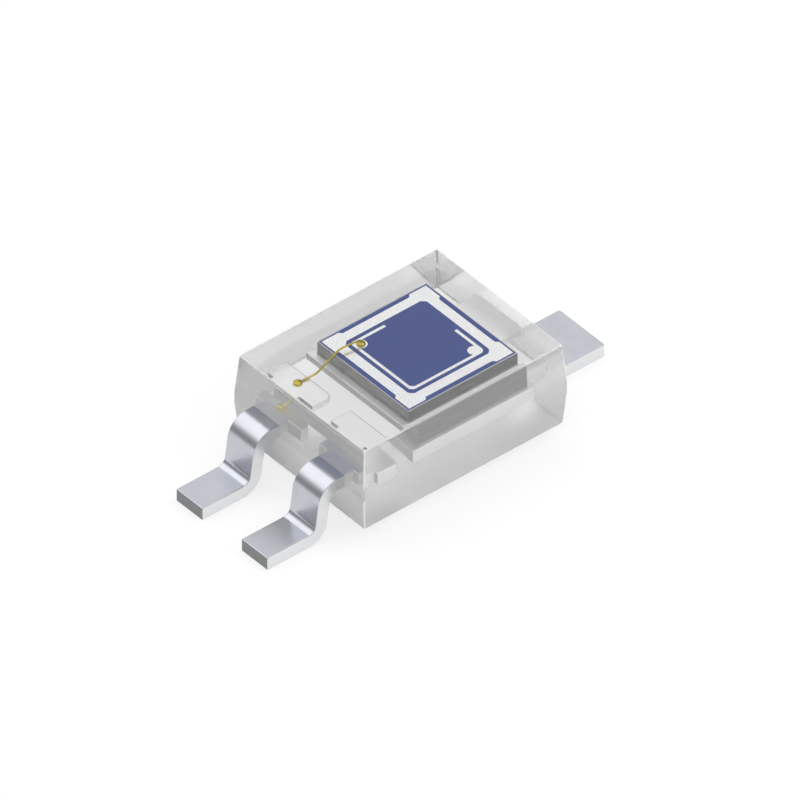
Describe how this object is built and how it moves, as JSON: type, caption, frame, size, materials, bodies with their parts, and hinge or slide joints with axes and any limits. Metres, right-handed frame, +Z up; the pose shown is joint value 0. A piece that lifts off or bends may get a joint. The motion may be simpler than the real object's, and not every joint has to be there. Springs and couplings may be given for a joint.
{
  "type": "photodiode",
  "caption": "Clear moulded surface-mount photodiode with a square silicon chip on a die pad, a gold bond wire and bent gull-wing leads.",
  "frame": {"origin": "centre of the part's outline seen from above, on the seating plane under the feet", "axes": "+X from the two narrow leads to the wide tab, +Z up out of the light-sensitive window face"},
  "size_m": [0.0046, 0.002, 0.0011],
  "materials": {
    "clear_epoxy": "clear and glossy, as moulded",
    "plated_strip": "silver-white plating, smooth and satin",
    "silver_glue": "silver-filled epoxy, matt",
    "silicon": "sawn side walls, satin grey",
    "blue_film": "deep blue, mirror smooth",
    "chip_metal": "bright deposited aluminium",
    "gold": "bright drawn gold wire"
  },
  "bodies": {
    "root": {"clear_body": "clear_epoxy", "die_pad_lead": "plated_strip", "bond_lead": "plated_strip", "spare_lead": "plated_strip", "die_attach": "silver_glue", "photodiode_chip": "silicon", "antireflection_film": "blue_film", "guard_ring": "chip_metal", "anode_track": "chip_metal", "bond_wire": "gold"}
  },
  "joints": []
}
